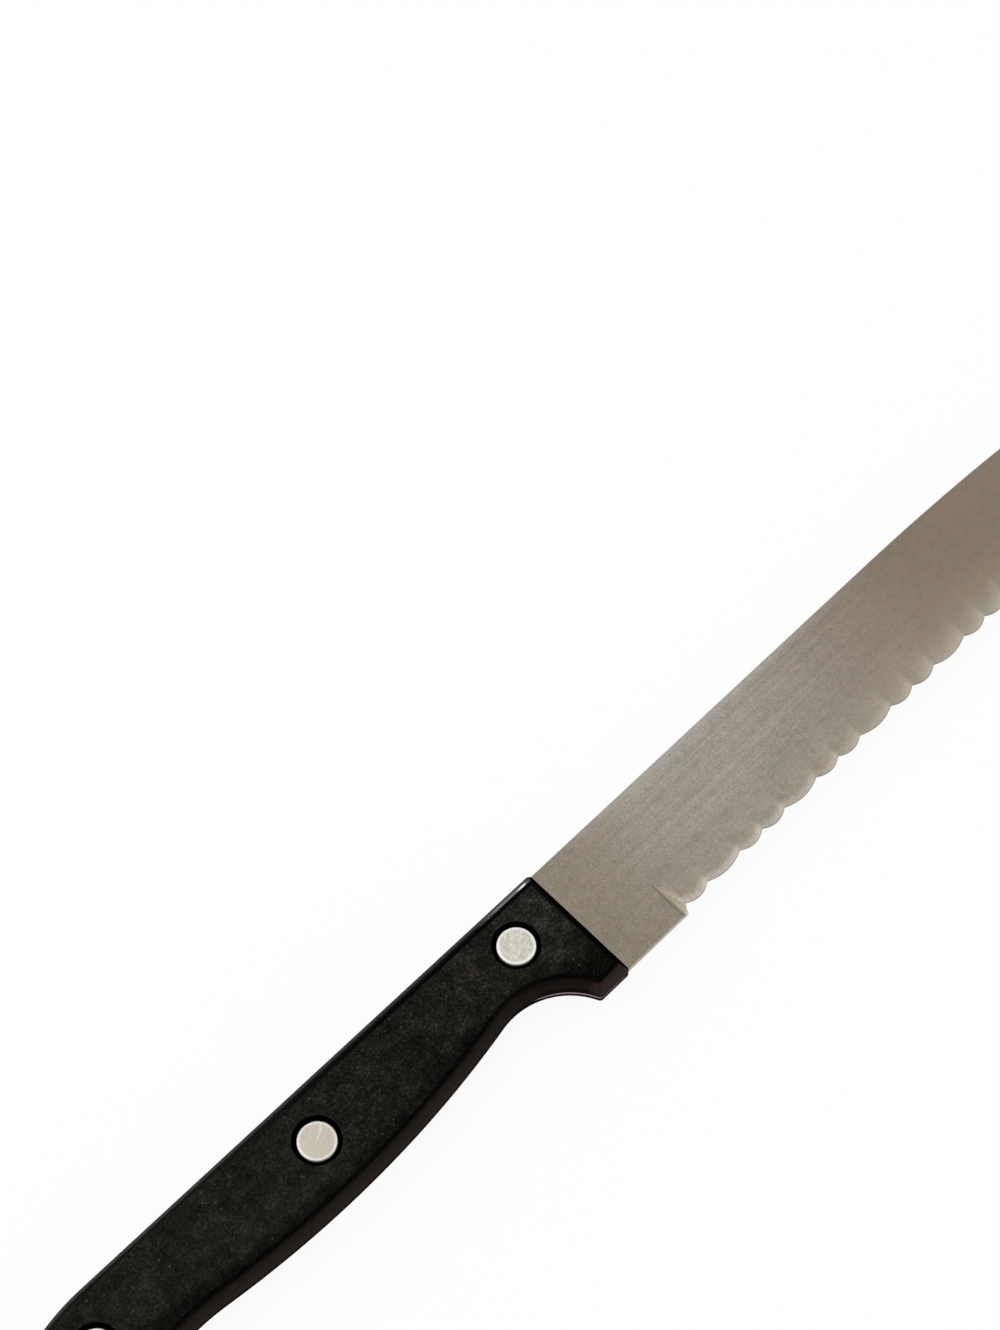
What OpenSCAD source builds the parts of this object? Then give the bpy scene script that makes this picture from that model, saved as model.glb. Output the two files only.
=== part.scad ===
// Slicing knife with a scalloped edge: one steel blade with a full tang, two
// drafted handle scales and three two-piece rivets that clamp them together.
// The knife lies on its left side with the ground face up.
// +X runs to the tip, +Y to the spine and +Z up from the surface it lies on.

/* [Blade] */
// Length from the front of the handle to the tip
blade_length = 200; // [160:1:230]
// Height from the spine to the crests of the scallops
blade_height = 21; // [19:0.5:26]
// Thickness of the steel, tang included
blade_thickness = 1.5; // [1.2:0.1:2.2]
// Straight part of the spine, from the front of the handle
spine_straight = 80; // [40:1:110]
// How far the spine has come down above the tip
spine_drop = 14.4; // [6:0.2:16]
// Radius of the nose where the spine turns down to the tip
nose_radius = 35; // [20:1:50]

/* [Grind] */
// Length of the unground heel, on the right face
heel_length = 12.7; // [8:0.1:20]
// How far the heel stands below the scallop crests
heel_drop = 0.85; // [0.4:0.05:1.4]
// Width of the ground bevel, on the right face only
bevel_width = 6.6; // [5:0.1:9]
// Width of a small scallop
small_scallop = 5.3; // [4:0.1:7]
// Width of a large scallop
large_scallop = 7.6; // [6:0.1:10]
// Depth of the pointed notches between the scallops
notch_depth = 0.9; // [0.4:0.05:1.2]
// Distance from the top of the heel step to the first notch
first_notch = 1.9; // [1.5:0.1:3.5]
// How far the foot of the step runs past the first notch
step_lap = 0.1; // [0.05:0.05:0.3]
// How far the step's lower corner is cut back under the heel
corner_cut = 0.95; // [0.5:0.05:1.2]
// Steel left between the cut corner and the right face
corner_land = 0.15; // [0.1:0.05:0.4]
// Plain edge left behind the tip
plain_tip = 8; // [2:1:20]

/* [Handle outline] */
// Length of the handle
handle_length = 110; // [102:1:125]
// How far the handle's back stands above the spine at the front
front_rise = 0.4; // [0:0.1:0.8]
// How far the handle's back stands above the spine where it is highest
crest_rise = 0.8; // [0.4:0.1:1.5]
// How far the guard stands below the heel
guard_drop = 0.35; // [0.1:0.05:1.5]
// Length of the guard's flat, from the front of the handle
guard_length = 6.1; // [5:0.1:8]
// Radius of the finger hollow behind the guard
finger_radius = 12.7; // [11:0.1:14]
// Depth of the finger hollow's top below the spine
finger_depth = 14.4; // [14:0.1:15.5]
// Fullest point of the belly, behind the front of the handle
belly_back = 55; // [48:1:60]
// Depth of the belly below the spine
belly_depth = 17.9; // [17:0.1:18.8]
// Where the underside starts to flare, ahead of the butt
flare_length = 29.7; // [25:0.1:34]
// Depth of the underside below the spine where it starts to flare
flare_depth = 16.2; // [15.8:0.1:17]
// Radius of the hollow flare under the butt
flare_radius = 46; // [36:1:60]
// Radius of the lower corner of the butt
beak_radius = 6; // [5:0.1:7]
// Radius of the upper corner of the butt
butt_radius = 10; // [8:0.1:11]
// Where the back starts to fall, ahead of the butt
crest_length = 15; // [12:0.1:18]
// Radius of the falling back
crest_radius = 38; // [28:1:60]
// Radius of the corners at the guard and the front
corner_radius = 0.75; // [0.3:0.05:0.85]
// How far the tang lies inside the scales all round
tang_set = 0.3; // [0.1:0.05:0.5]

/* [Scales] */
// Thickness of one scale
scale_thickness = 4.2; // [3.4:0.1:6]
// Draft of the walls
wall_draft = 23; // [12:1:25]
// Radius of the rounded edge round the face
edge_radius = 1.8; // [0.8:0.1:2]

/* [Rivets] */
// Front rivet, behind the front of the handle
front_rivet_back = 10.9; // [10:0.1:13.5]
// Depth of the front rivet below the spine
front_rivet_depth = 7.6; // [7:0.1:8.5]
// Middle rivet, behind the front of the handle
middle_rivet_back = 54.5; // [45:0.5:65]
// Rear rivet, ahead of the butt
rear_rivet_ahead = 10.9; // [10.5:0.1:15]
// Depth of the middle and rear rivets below the spine
rivet_depth = 8.5; // [8:0.1:9.5]
// Diameter of a rivet head
head_d = 6.3; // [5.5:0.1:7]
// Thickness of a rivet head
head_t = 1.4; // [1:0.1:1.8]
// Chamfer round a rivet head
head_chamfer = 0.25; // [0.1:0.05:0.4]
// How far a head lies below the face of its scale
head_set = 0.2; // [0.1:0.05:0.4]
// Gap between a head and the wall of its recess
recess_gap = 0.8; // [0.3:0.05:1]
// Diameter of the sleeve
sleeve_d = 4; // [3.6:0.1:4.6]
// Diameter of the pin pressed into the sleeve
pin_d = 2.6; // [2:0.1:3]

/* [Clearances] */
// Gap between a sleeve and its holes, all round
sleeve_clearance = 0.1; // [0.05:0.01:0.2]
// Gap between a pin and its sleeve, all round
pin_clearance = 0.03; // [0.01:0.01:0.06]
// Gap past the end of a sleeve or pin
end_gap = 0.4; // [0.2:0.05:0.6]

/* [Hidden] */

steel = [0.59, 0.56, 0.51];
black = [0.11, 0.11, 0.10];
silver = [0.80, 0.78, 0.74];

// Straight steps in the arcs of an outline
corner_steps = 4;
arc_steps = 12;
long_arc_steps = 20;
// Facets of the circles that cut exact round surfaces
round_facets = 96;
grind_facets = 720;
// Spare length of a cut past the surface that it leaves
over = 1;

// The knife's own frame has the spine on Y = 0, the front of the handle on
// X = 0 and the middle of the steel on Z = 0.
edge_y = -blade_height;
heel_y = edge_y - heel_drop;
guard_y = heel_y - guard_drop;
front_y = front_rise;
back_y = crest_rise;
face_z = blade_thickness / 2 + scale_thickness;

// Where the knife's frame sits, so that the origin is under its middle
place = [
    (handle_length - blade_length) / 2,
    -(back_y + guard_y) / 2,
    face_z
];

function polar(r, a) = r * [cos(a), sin(a)];
function angle_to(from, to) = atan2(to.y - from.y, to.x - from.x);
// Points along an arc; one that goes on from the arc before starts at point 1
function arc(centre, r, a0, a1, steps, first = 0) =
    [for (i = [first:steps]) centre + polar(r, a0 + (a1 - a0) * i / steps)];
function total(list, n) = n <= 0 ? 0 : list[n - 1] + total(list, n - 1);
// Radius of an arc that stands this high over its chord
function rise_radius(chord, rise) = chord * chord / (8 * rise) + rise / 2;

// Blade outline: the spine falls along one arc and the nose rolls off it
spine_run = blade_length - spine_straight;
spine_radius = rise_radius(2 * spine_run, spine_drop);
spine_centre = [spine_straight, -spine_radius];
tip = [blade_length, edge_y];
tip_reach = norm(tip - spine_centre);
tip_bearing = angle_to(spine_centre, tip);
nose_orbit = spine_radius - nose_radius;
// The nose's centre lies one nose radius from the tip, inside the spine's arc
nose_turn = acos(
    (nose_orbit * nose_orbit + tip_reach * tip_reach - nose_radius * nose_radius)
    / (2 * nose_orbit * tip_reach)
);
nose_start = tip_bearing + nose_turn;
nose_centre = spine_centre + polar(nose_orbit, nose_start);
nose_end = angle_to(nose_centre, tip);

// Grind: a form wheel runs square to the edge and leans by the bevel's angle
bevel_angle = atan(blade_thickness / bevel_width);
flute_depth = notch_depth * sin(bevel_angle);
scallop_group = [small_scallop, large_scallop, small_scallop];
group_width = total(scallop_group, len(scallop_group));
notches_start = heel_length + first_notch;
groups = floor((blade_length - plain_tip - notches_start) / group_width);
// One more small scallop runs into the heel step
scallops = concat([small_scallop], [for (g = [1:groups]) each scallop_group]);
scallops_start = notches_start - small_scallop;
scallops_end = scallops_start + total(scallops, len(scallops));
wheel_depth = blade_thickness + heel_drop + over;
wheel_reach = 2 * (bevel_width + blade_thickness);
// The heel step leans out from the right face to just past the first notch
step_run = first_notch + step_lap;
step_lean = step_run / blade_thickness;
// Its lower corner is cut off from below that notch to the underside of the heel
corner_rise = heel_drop + notch_depth - 2 * step_lap;
corner_foot = [heel_length + step_run - corner_cut, heel_y, -blade_thickness / 2];
corner_turn = atan(corner_cut / corner_rise);
corner_back = corner_foot.x - heel_length - corner_land * step_lean;
corner_lean = atan(corner_back * cos(corner_turn) / (blade_thickness - corner_land));

// Handle outline: centres of its arcs, each tangent to the next
crest_centre = [crest_length - handle_length, back_y - crest_radius];
butt_x = butt_radius - handle_length;
butt_fall = crest_radius - butt_radius;
crest_turn = asin((crest_centre.x - butt_x) / butt_fall);
butt_centre = [butt_x, crest_centre.y + butt_fall * cos(crest_turn)];
// The finger hollow runs up to the end of the guard's flat
finger_y = -finger_depth - finger_radius;
guard_turn = asin((guard_y + corner_radius - finger_y) / (finger_radius + corner_radius));
finger_centre = [-guard_length - (finger_radius + corner_radius) * cos(guard_turn), finger_y];
// The belly falls from the finger hollow to its fullest point along one arc
finger_run = belly_back + finger_centre.x;
finger_fall = -belly_depth - finger_centre.y;
belly_radius = (finger_run * finger_run + finger_fall * finger_fall - finger_radius * finger_radius)
    / (2 * (finger_radius - finger_fall));
belly_centre = [-belly_back, belly_radius - belly_depth];
finger_turn = asin(finger_run / (belly_radius + finger_radius));
// It rises again to the flare along an arc of its own
rise_run = handle_length - flare_length - belly_back;
rear_radius = rise_radius(2 * rise_run, belly_depth - flare_depth);
rear_centre = [-belly_back, rear_radius - belly_depth];
flare_turn = asin(rise_run / rear_radius);
flare_centre = rear_centre + polar(rear_radius + flare_radius, -90 - flare_turn);
beak_x = beak_radius - handle_length;
beak_turn = asin((flare_centre.x - beak_x) / (flare_radius + beak_radius));
beak_centre = [beak_x, flare_centre.y + (flare_radius + beak_radius) * cos(beak_turn)];
// Least flat under the guard, where the inset would use it up
least_flat = 0.05;

// Handle outline, moved inwards by inset all round
function handle_outline(inset) = let (
    front_x = -inset - corner_radius,
    top_y = front_y - inset - corner_radius,
    reach = finger_radius + inset + corner_radius,
    flat_y = guard_y + inset + corner_radius - finger_centre.y,
    lip_x = min(
        finger_centre.x + sqrt(reach * reach - flat_y * flat_y),
        front_x - least_flat
    ),
    lip_angle = acos((lip_x - finger_centre.x) / reach),
    lip_y = finger_centre.y + reach * sin(lip_angle)
) concat(
    arc([front_x, top_y], corner_radius, 0, 90, corner_steps),
    arc(crest_centre, crest_radius - inset, 90, 90 + crest_turn, corner_steps),
    arc(butt_centre, butt_radius - inset, 90 + crest_turn, 180, arc_steps, 1),
    arc(beak_centre, beak_radius - inset, 180, 270 + beak_turn, arc_steps),
    arc(flare_centre, flare_radius + inset, 90 + beak_turn, 90 - flare_turn, arc_steps, 1),
    arc(rear_centre, rear_radius - inset, 270 - flare_turn, 270, arc_steps, 1),
    arc(belly_centre, belly_radius - inset, 270, 270 + finger_turn, arc_steps, 1),
    arc(finger_centre, finger_radius + inset, 90 + finger_turn, lip_angle, arc_steps, 1),
    arc([lip_x, lip_y], corner_radius, 180 + lip_angle, 270, corner_steps, 1),
    arc([front_x, lip_y], corner_radius, 270, 360, corner_steps)
);

// Section of a scale's wall as [inset, height]: drafted, then rounded over.
// It starts below the tang and ends above the face, where flat cuts trim it.
edge_height = scale_thickness - edge_radius;
edge_inset = (edge_radius + edge_height * sin(wall_draft)) / cos(wall_draft);
// The rounding ends this close to level, and a straight tail leaves the face
edge_last = 78;
edge_steps = 6;
edge_tail = edge_radius / 4;
edge_points = [
    for (i = [0:edge_steps])
        let (a = wall_draft + (edge_last - wall_draft) * i / edge_steps)
        [edge_inset - edge_radius * cos(a), edge_height + edge_radius * sin(a)]
];
wall_section = concat(
    [[-over * tan(wall_draft), -over]],
    edge_points,
    [edge_points[edge_steps] + edge_tail * [sin(edge_last), cos(edge_last)]]
);

rivet_places = [
    [-front_rivet_back, -front_rivet_depth],
    [-middle_rivet_back, -rivet_depth],
    [rear_rivet_ahead - handle_length, -rivet_depth]
];
recess_d = head_d + 2 * recess_gap;
recess_depth = head_t + head_set;
// Height of a recess floor, where the underside of a head bears
seat_z = face_z - recess_depth;
hole_d = sleeve_d + 2 * sleeve_clearance;
bore_d = pin_d + 2 * pin_clearance;

// Solid skinned over rings of points, from the lowest ring to the highest
module skin(rings) {
    n = len(rings[0]);
    last = len(rings) - 1;
    polyhedron(
        points = [for (ring = rings) each ring],
        faces = concat(
            [[for (i = [0:n - 1]) i]],
            [for (k = [0:last - 1]) for (i = [0:n - 1]) let (j = (i + 1) % n)
                each [
                    [k * n + i, k * n + n + i, k * n + n + j],
                    [k * n + i, k * n + n + j, k * n + j]
                ]],
            [[for (i = [n - 1:-1:0]) last * n + i]]
        )
    );
}

// The blade runs this far into the tang, past the tang's front corners
tang_lap = tang_set + corner_radius + over;
// Flat steel blank: the blade and the tang, which follows the handle's outline
module blank() {
    polygon(handle_outline(tang_set));
    polygon(concat(
        [[-tang_lap, heel_y]],
        [[blade_length, heel_y]],
        arc(nose_centre, nose_radius, nose_end, nose_start, arc_steps),
        arc(spine_centre, spine_radius, nose_start, 90, long_arc_steps, 1),
        [[-tang_lap, 0]]
    ));
}

// Section of the steel that the form wheel takes away, seen along its travel:
// round-topped ridges are left, with a sharp groove between neighbours
module wheel_section() {
    difference() {
        translate([heel_length - over, -over])
            square([blade_length - heel_length + 2 * over, wheel_depth + over]);
        for (i = [0:len(scallops) - 1]) {
            width = scallops[i];
            ridge_r = rise_radius(width, flute_depth);
            middle = scallops_start + total(scallops, i) + width / 2;
            translate([middle, -ridge_r]) circle(r = ridge_r, $fn = grind_facets);
        }
        translate([scallops_end, -2 * over]) square([blade_length, 2 * over]);
    }
}

// Side view of where the grind starts: a step that leans out below the right face
module step_section() {
    polygon([
        [heel_length - step_lean * over, blade_thickness / 2 + over],
        [heel_length + step_run + step_lean * over, -blade_thickness / 2 - over],
        [blade_length + over, -blade_thickness / 2 - over],
        [blade_length + over, blade_thickness / 2 + over]
    ]);
}

module grind() {
    translate([0, edge_y, 0]) intersection() {
        translate([0, 0, -blade_thickness / 2])
            rotate([90 + bevel_angle, 0, 0])
                linear_extrude(wheel_reach, center = true) wheel_section();
        rotate([90, 0, 0]) linear_extrude(2 * wheel_reach, center = true) step_section();
    }
}

// What a file takes off the step's lower corner
module corner() {
    intersection() {
        translate([heel_length, heel_y - over, -blade_thickness / 2 - over])
            cube([step_run + step_lap / 2, corner_rise + over + step_lap / 2, blade_thickness + 2 * over]);
        translate(corner_foot) rotate([0, -corner_lean, -corner_turn])
            translate([0, -wheel_reach, -wheel_reach]) cube(2 * wheel_reach);
    }
}

module blade() {
    color(steel) translate(place) difference() {
        linear_extrude(blade_thickness, center = true) blank();
        grind();
        corner();
        for (at = rivet_places)
            translate(at) cylinder(d = hole_d, h = 2 * face_z, center = true, $fn = round_facets);
    }
}

// One scale, lying on the upper face of the tang
module scale_body() {
    difference() {
        intersection() {
            translate([0, 0, blade_thickness / 2])
                skin([for (p = wall_section) [for (q = handle_outline(p.x)) [q.x, q.y, p.y]]]);
            translate([-handle_length - over, guard_y - over, blade_thickness / 2])
                cube([handle_length + 2 * over, back_y - guard_y + 2 * over, scale_thickness]);
        }
        for (at = rivet_places) translate(at) {
            cylinder(d = hole_d, h = face_z + over, $fn = round_facets);
            translate([0, 0, seat_z])
                cylinder(d = recess_d, h = recess_depth + over, $fn = round_facets);
        }
    }
}

module right_scale() {
    color(black) translate(place) scale_body();
}

module left_scale() {
    color(black) translate(place) mirror([0, 0, 1]) scale_body();
}

// Half section of a rivet head that bears on Z = 0, with its rim chamfered
module head_section() {
    polygon([
        [0, 0],
        [head_d / 2, 0],
        [head_d / 2, head_t - head_chamfer],
        [head_d / 2 - head_chamfer, head_t],
        [0, head_t]
    ]);
}

// Sleeve, with its head in the left scale and its bore open to the right
module rivet_sleeve(at) {
    color(silver) translate(place + [at.x, at.y, 0]) difference() {
        union() {
            translate([0, 0, -seat_z]) mirror([0, 0, 1])
                rotate_extrude($fn = round_facets) head_section();
            translate([0, 0, -seat_z - head_t / 2])
                cylinder(d = sleeve_d, h = 2 * seat_z + head_t / 2 - end_gap, $fn = round_facets);
        }
        translate([0, 0, -seat_z])
            cylinder(d = bore_d, h = 2 * seat_z + over, $fn = round_facets);
    }
}

// Pin, with its head in the right scale and its shank inside the sleeve
module rivet_pin(at) {
    color(silver) translate(place + [at.x, at.y, 0]) {
        translate([0, 0, seat_z]) rotate_extrude($fn = round_facets) head_section();
        translate([0, 0, end_gap - seat_z])
            cylinder(d = pin_d, h = 2 * seat_z + head_t / 2 - end_gap, $fn = round_facets);
    }
}

module front_rivet_sleeve() { rivet_sleeve(rivet_places[0]); }
module front_rivet_pin() { rivet_pin(rivet_places[0]); }
module middle_rivet_sleeve() { rivet_sleeve(rivet_places[1]); }
module middle_rivet_pin() { rivet_pin(rivet_places[1]); }
module rear_rivet_sleeve() { rivet_sleeve(rivet_places[2]); }
module rear_rivet_pin() { rivet_pin(rivet_places[2]); }

blade();
right_scale();
left_scale();
front_rivet_sleeve();
front_rivet_pin();
middle_rivet_sleeve();
middle_rivet_pin();
rear_rivet_sleeve();
rear_rivet_pin();
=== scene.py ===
from math import acos, asin, atan, cos, degrees, radians, sin, sqrt, tau

import bmesh
import bpy
from mathutils import Matrix, Vector


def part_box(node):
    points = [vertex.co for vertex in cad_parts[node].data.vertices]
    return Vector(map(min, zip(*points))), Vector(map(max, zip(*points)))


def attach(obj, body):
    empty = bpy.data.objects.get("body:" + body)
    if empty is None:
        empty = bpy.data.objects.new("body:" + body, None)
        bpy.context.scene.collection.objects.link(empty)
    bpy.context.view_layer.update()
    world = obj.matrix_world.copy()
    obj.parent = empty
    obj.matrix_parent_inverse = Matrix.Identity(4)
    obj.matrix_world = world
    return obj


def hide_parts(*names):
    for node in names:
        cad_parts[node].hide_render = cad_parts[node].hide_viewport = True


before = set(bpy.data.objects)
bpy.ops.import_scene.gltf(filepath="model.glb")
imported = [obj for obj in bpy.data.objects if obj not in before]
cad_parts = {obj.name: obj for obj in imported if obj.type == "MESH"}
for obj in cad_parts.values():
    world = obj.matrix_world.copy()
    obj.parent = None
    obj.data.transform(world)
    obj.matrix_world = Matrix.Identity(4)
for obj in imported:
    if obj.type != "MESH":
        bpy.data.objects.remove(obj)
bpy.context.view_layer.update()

mm = 0.001
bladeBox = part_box("blade")
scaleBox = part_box("right_scale")

# Shapes are drawn in millimetres in the knife's own frame: the spine on Y = 0,
# the front of the handle on X = 0 and the middle of the steel on Z = 0.
handle = {
    "long": (scaleBox[1].x - scaleBox[0].x) / mm,
    "faceUp": (scaleBox[1].z - (bladeBox[0].z + bladeBox[1].z) / 2) / mm,
    "frontRise": 0.4, "crestRise": 0.8,
    "guardDrop": 0.35, "guardLong": 6.1,
    "fingerRadius": 12.7, "fingerDepth": 14.4,
    "bellyBack": 55, "bellyDepth": 17.9,
    "flareLong": 29.7, "flareDepth": 16.2, "flareRadius": 46,
    "beakRadius": 6, "buttRadius": 10,
    "crestLong": 15, "crestRadius": 38,
    "cornerRadius": 0.75,
    "draft": 23, "edgeRadius": 1.8,
    "tangSet": 0.2, "tangHide": 0.5,  # how far the steel stands back inside the scales
    "tangHideEnd": 76, "tangSetStart": 64,  # degrees round the finger hollow
    "cornerSteps": 10, "arcSteps": 28, "edgeSteps": 12,
    "leastFlat": 0.05,
    "frontTurn": 0.7, "frontDeep": 1.6,  # faces taken as the front wall
    "wallSupport": 0.85,  # share of the drafted wall where a ring keeps it flat
}
blade = {
    "long": (bladeBox[1].x - scaleBox[1].x) / mm,
    "thick": (bladeBox[1].z - bladeBox[0].z) / mm,
    "high": 21,
    "spineStraight": 80, "spineDrop": 14.4, "noseRadius": 35,
    "heelLong": 12.7, "heelDrop": 0.85,
    "edgeRound": 0.12, "roundSegments": 4,
    "arcSteps": 32,
    "sharpAngle": 25, "straightAngle": 0.05,  # degrees
}
grind = {
    "wide": 6.6,
    "smallScallop": 5.3, "largeScallop": 7.6,
    "notchDepth": 0.9, "firstNotch": 1.9,
    "stepLap": 0.1,  # how far past the first groove the heel step ends
    "cornerCut": 0.95, "cornerLand": 0.15,  # filed corner of the step
    "plainTip": 8,
    "ridgeSteps": 14,
    "spare": 1,  # how far a cutter runs out of the steel
}
rivet = {
    "frontBack": 10.9, "frontDepth": 7.6,
    "middleBack": 54.5, "rearAhead": 10.9, "depth": 8.5,
    "headWide": 6.3, "headThick": 1.4, "headRound": 0.28, "dome": 0.07,
    "headSet": 0.2, "recessGap": 0.8, "recessRound": 0.08,
    "sleeveWide": 4, "sleeveRoom": 0.1,
    "pinWide": 2.6, "pinRoom": 0.03,
    "endGap": 0.4, "endChamfer": 0.2,
    "turnSteps": 72, "roundSteps": 6, "domeSteps": 8,
}
weldGap = 0.001  # points nearer than this are one

origin = Vector((
    scaleBox[1].x,
    scaleBox[1].y - handle["crestRise"] * mm,
    (bladeBox[0].z + bladeBox[1].z) / 2,
))
intoFrame = Matrix.Translation(origin) @ Matrix.Scale(mm, 4)

edgeY = -blade["high"]
heelY = edgeY - blade["heelDrop"]
guardY = heelY - handle["guardDrop"]
tangUp = blade["thick"] / 2
stepRun = grind["firstNotch"] + grind["stepLap"]
stepLean = stepRun / blade["thick"]
cornerY = edgeY + grind["notchDepth"] - 2 * grind["stepLap"]
seatUp = handle["faceUp"] - rivet["headThick"] - rivet["headSet"]
rivetPlaces = {
    "front": Vector((-rivet["frontBack"], -rivet["frontDepth"], 0)),
    "middle": Vector((-rivet["middleBack"], -rivet["depth"], 0)),
    "rear": Vector((rivet["rearAhead"] - handle["long"], -rivet["depth"], 0)),
}


def only(kind, items):
    return [item for item in items if isinstance(item, kind)]


# Pen: straight runs and arcs
def polar(radius, angle):
    return Vector((radius * cos(radians(angle)), radius * sin(radians(angle)), 0))


def riseRadius(chord, rise):
    return chord * chord / (8 * rise) + rise / 2


def arc(centre, radius, start, end, steps):
    return {"centre": Vector((centre[0], centre[1], 0)), "radius": radius,
            "start": start, "turn": end - start, "steps": steps}


def point(x, y):
    return arc((x, y), 0, 0, 0, 0)


# Each stroke is an arc or a point, and straight runs join the strokes
def drawPath(bm, strokes, closed):
    before = set(bm.edges)
    first = None
    here = None
    for stroke in strokes:
        place = stroke["centre"] + polar(stroke["radius"], stroke["start"])
        if here is None:
            here = bmesh.ops.create_vert(bm, co=place)["vert"][0]
            first = here
        elif (place - here.co).length > weldGap:
            here = bmesh.ops.extrude_vert_indiv(bm, verts=[here])["verts"][0]
            here.co = place
        if stroke["turn"]:
            swept = bmesh.ops.spin(bm, geom=[here], cent=stroke["centre"], axis=(0, 0, 1),
                                   angle=radians(stroke["turn"]), steps=stroke["steps"])
            here = only(bmesh.types.BMVert, swept["geom_last"])[0]
    if closed:
        bmesh.ops.contextual_create(bm, geom=[here, first])
    return [edge for edge in bm.edges if edge not in before]


def pointsOf(edges):
    return list(dict.fromkeys(vert for edge in edges for vert in edge.verts))


# A half section, drawn as radius and height, turned once round the Z axis
def latheSection(bm, strokes, place):
    before = set(bm.verts)
    section = drawPath(bm, strokes, closed=False)
    bmesh.ops.rotate(bm, cent=(0, 0, 0), matrix=Matrix.Rotation(tau / 4, 3, "X"),
                     verts=pointsOf(section))
    bmesh.ops.spin(bm, geom=pointsOf(section) + section, cent=(0, 0, 0), axis=(0, 0, 1),
                   angle=tau, steps=rivet["turnSteps"], use_merge=True)
    turned = [vert for vert in bm.verts if vert not in before]
    bmesh.ops.translate(bm, vec=place, verts=turned)
    bmesh.ops.remove_doubles(bm, verts=turned, dist=weldGap)


# Handle outline as arcs, moved inwards by inset all round
def handleArcs(inset):
    corner = handle["cornerRadius"]
    fine = handle["cornerSteps"]
    steps = handle["arcSteps"]
    long = handle["long"]
    fingerRadius = handle["fingerRadius"]

    crestTurn = asin((handle["crestLong"] - handle["buttRadius"])
                     / (handle["crestRadius"] - handle["buttRadius"]))
    crest = Vector((handle["crestLong"] - long, handle["crestRise"] - handle["crestRadius"]))
    buttFall = (handle["crestRadius"] - handle["buttRadius"]) * cos(crestTurn)
    butt = Vector((handle["buttRadius"] - long, crest.y + buttFall))

    fingerY = -handle["fingerDepth"] - fingerRadius
    fingerOut = fingerRadius + corner
    guardTurn = asin((guardY + corner - fingerY) / fingerOut)
    finger = Vector((-handle["guardLong"] - fingerOut * cos(guardTurn), fingerY))

    run = handle["bellyBack"] + finger.x
    fall = -handle["bellyDepth"] - finger.y
    bellyRadius = (run * run + fall * fall - fingerRadius ** 2) / (2 * (fingerRadius - fall))
    belly = Vector((-handle["bellyBack"], bellyRadius - handle["bellyDepth"]))
    fingerTurn = degrees(asin(run / (bellyRadius + fingerRadius)))

    riseRun = long - handle["flareLong"] - handle["bellyBack"]
    rearRadius = riseRadius(2 * riseRun, handle["bellyDepth"] - handle["flareDepth"])
    rear = Vector((-handle["bellyBack"], rearRadius - handle["bellyDepth"]))
    flareTurn = degrees(asin(riseRun / rearRadius))
    flare = rear + polar(rearRadius + handle["flareRadius"], -90 - flareTurn).to_2d()
    beakX = handle["beakRadius"] - long
    beakTurn = asin((flare.x - beakX) / (handle["flareRadius"] + handle["beakRadius"]))
    beakRise = (handle["flareRadius"] + handle["beakRadius"]) * cos(beakTurn)
    beak = Vector((beakX, flare.y + beakRise))

    frontX = -inset - corner
    topY = handle["frontRise"] - inset - corner
    reach = fingerOut + inset
    flatY = guardY + inset + corner - finger.y
    lipX = min(finger.x + sqrt(reach * reach - flatY * flatY), frontX - handle["leastFlat"])
    lipAngle = degrees(acos((lipX - finger.x) / reach))
    lipY = finger.y + reach * sin(radians(lipAngle))

    crestTurn = degrees(crestTurn)
    beakTurn = degrees(beakTurn)
    return [
        arc((frontX, topY), corner, 0, 90, fine),
        arc(crest, handle["crestRadius"] - inset, 90, 90 + crestTurn, fine),
        arc(butt, handle["buttRadius"] - inset, 90 + crestTurn, 180, steps),
        arc(beak, handle["beakRadius"] - inset, 180, 270 + beakTurn, steps),
        arc(flare, handle["flareRadius"] + inset, 90 + beakTurn, 90 - flareTurn, steps),
        arc(rear, rearRadius - inset, 270 - flareTurn, 270, steps),
        arc(belly, bellyRadius - inset, 270, 270 + fingerTurn, steps),
        arc(finger, fingerRadius + inset, 90 + fingerTurn, lipAngle, steps),
        arc((lipX, lipY), corner, 180 + lipAngle, 270, fine),
        arc((frontX, lipY), corner, 270, 360, fine),
    ]


# Wall of a scale as inset and height: drafted, then rounded over to the face
def wallRings():
    draft = radians(handle["draft"])
    radius = handle["edgeRadius"]
    edgeUp = handle["faceUp"] - tangUp - radius
    edgeIn = (radius + edgeUp * sin(draft)) / cos(draft)
    wallTop = Vector((edgeIn - radius * cos(draft), edgeUp + radius * sin(draft)))
    rings = [Vector((0, 0)), wallTop * handle["wallSupport"]]
    for step in range(handle["edgeSteps"] + 1):
        lean = draft + (tau / 4 - draft) * step / handle["edgeSteps"]
        rings.append(Vector((edgeIn - radius * cos(lean), edgeUp + radius * sin(lean))))
    return rings


# Pocket for a rivet head, with a rounded rim, and the hole under it
def pocketSection():
    rim = rivet["recessRound"]
    wall = rivet["headWide"] / 2 + rivet["recessGap"]
    hole = rivet["sleeveWide"] / 2 + rivet["sleeveRoom"]
    return [
        arc((wall + rim, handle["faceUp"] - rim), rim, 90, 180, rivet["roundSteps"]),
        point(wall, seatUp),
        point(hole, seatUp),
        point(hole, tangUp),
    ]


def fillLevel(bm, height):
    rim = [edge for edge in bm.edges
           if edge.is_boundary and all(abs(vert.co.z - height) < weldGap for vert in edge.verts)]
    filled = bmesh.ops.triangle_fill(bm, use_beauty=True, edges=rim, normal=(0, 0, 1))
    for face in only(bmesh.types.BMFace, filled["geom"]):
        face.smooth = False
        face.material_index = 0


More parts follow.
